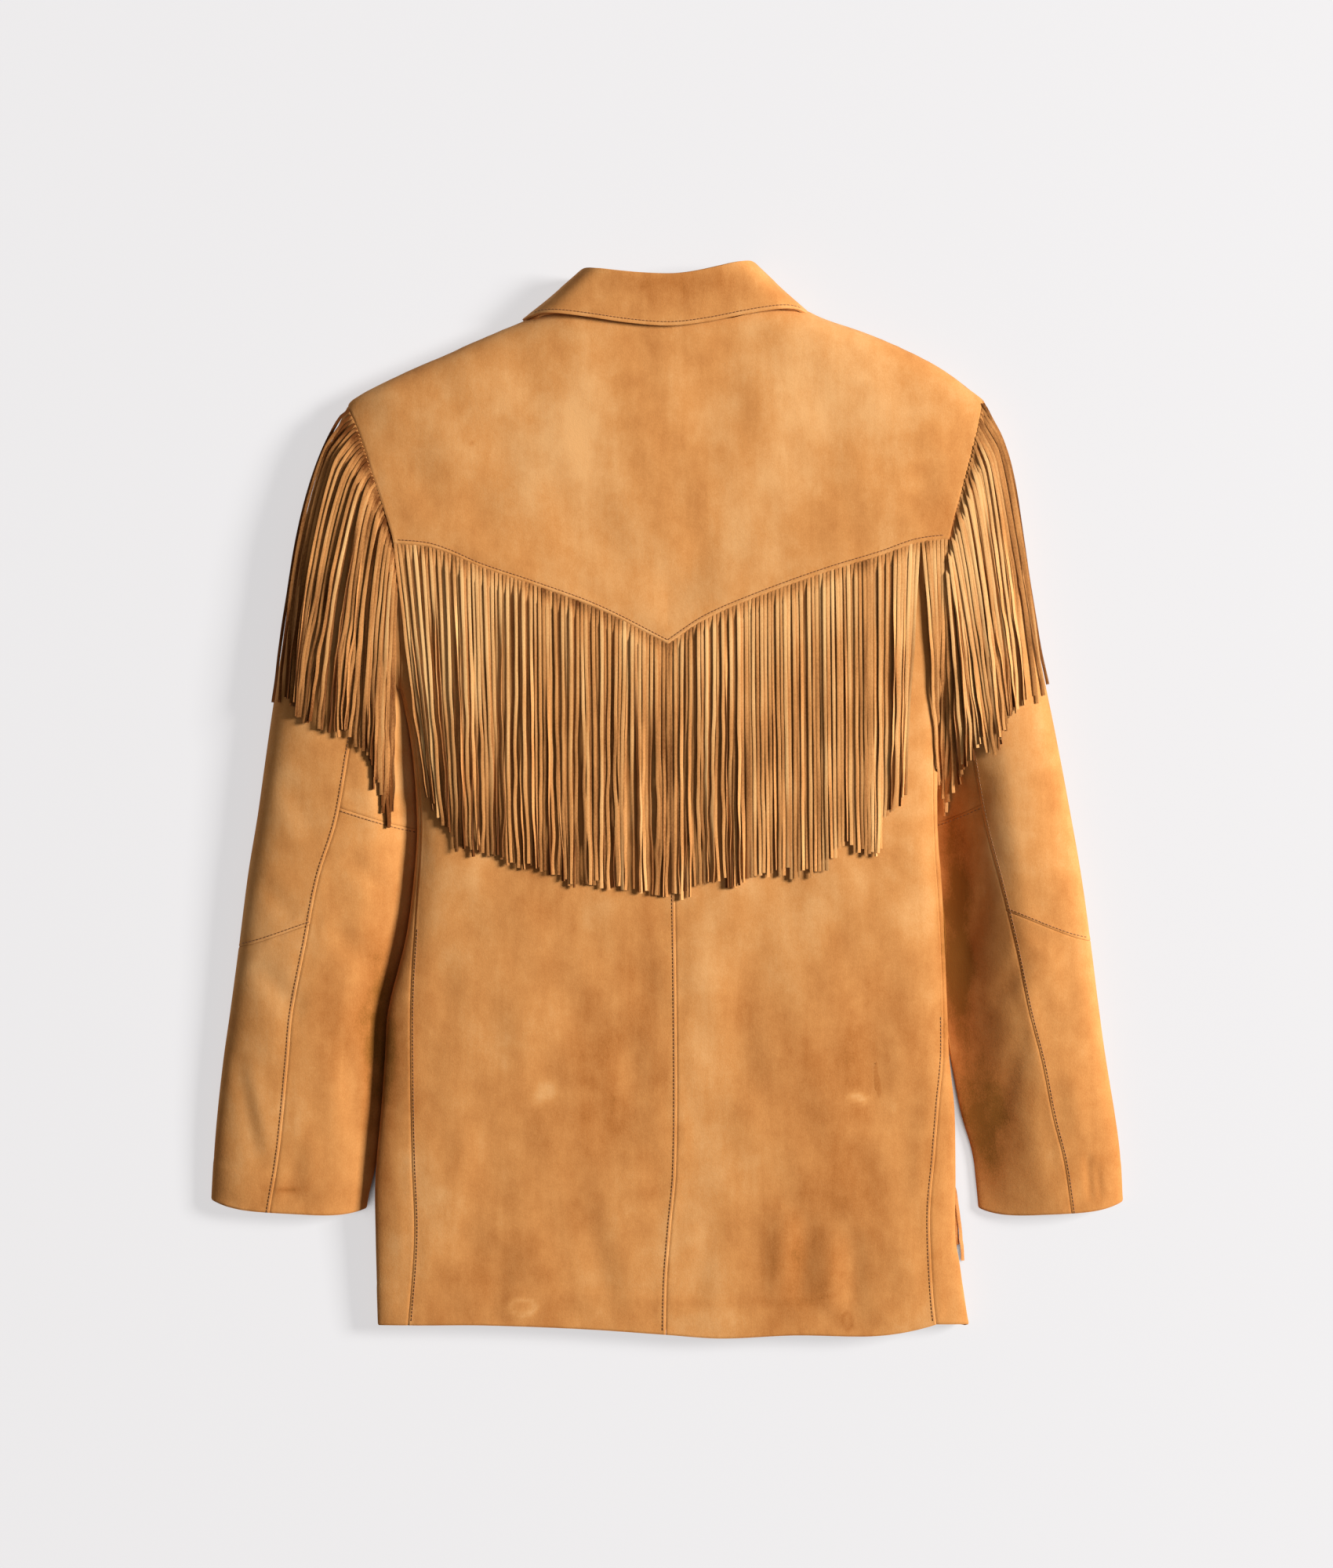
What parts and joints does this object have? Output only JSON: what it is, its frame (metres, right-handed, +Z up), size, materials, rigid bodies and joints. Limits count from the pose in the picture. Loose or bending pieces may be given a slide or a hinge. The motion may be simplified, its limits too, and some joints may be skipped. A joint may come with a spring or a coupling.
{
  "type": "fringed buckskin jacket",
  "caption": "Golden tan suede western jacket laid out back upwards, with a pointed back yoke, long cut fringe under the yoke and in the armholes, and a folded collar",
  "frame": {"origin": "middle of the outline, on the surface that the jacket lies on", "axes": "+Z up from the surface, +Y from the hem to the collar, +X to the right across the upturned back"},
  "size_m": [0.6766, 0.7982, 0.0424],
  "materials": {
    "suede": "golden tan suede with a soft matt nap",
    "fringe_suede": "cut strips of the same tan suede"
  },
  "bodies": {
    "root": {"back_yoke": "suede", "back_left": "suede", "back_right": "suede", "side_left": "suede", "side_right": "suede", "front_left": "suede", "front_right": "suede", "collar_fall": "suede", "collar_stand": "suede", "sleeve_left_outer_upper": "suede", "sleeve_left_outer_lower": "suede", "sleeve_left_inner_upper": "suede", "sleeve_left_inner_lower": "suede", "sleeve_right_outer_upper": "suede", "sleeve_right_outer_lower": "suede", "sleeve_right_inner_upper": "suede", "sleeve_right_inner_lower": "suede", "fringe_yoke_left": "fringe_suede", "fringe_yoke_right": "fringe_suede", "fringe_sleeve_left": "fringe_suede", "fringe_sleeve_right": "fringe_suede", "fringe_hip": "fringe_suede"}
  },
  "joints": []
}
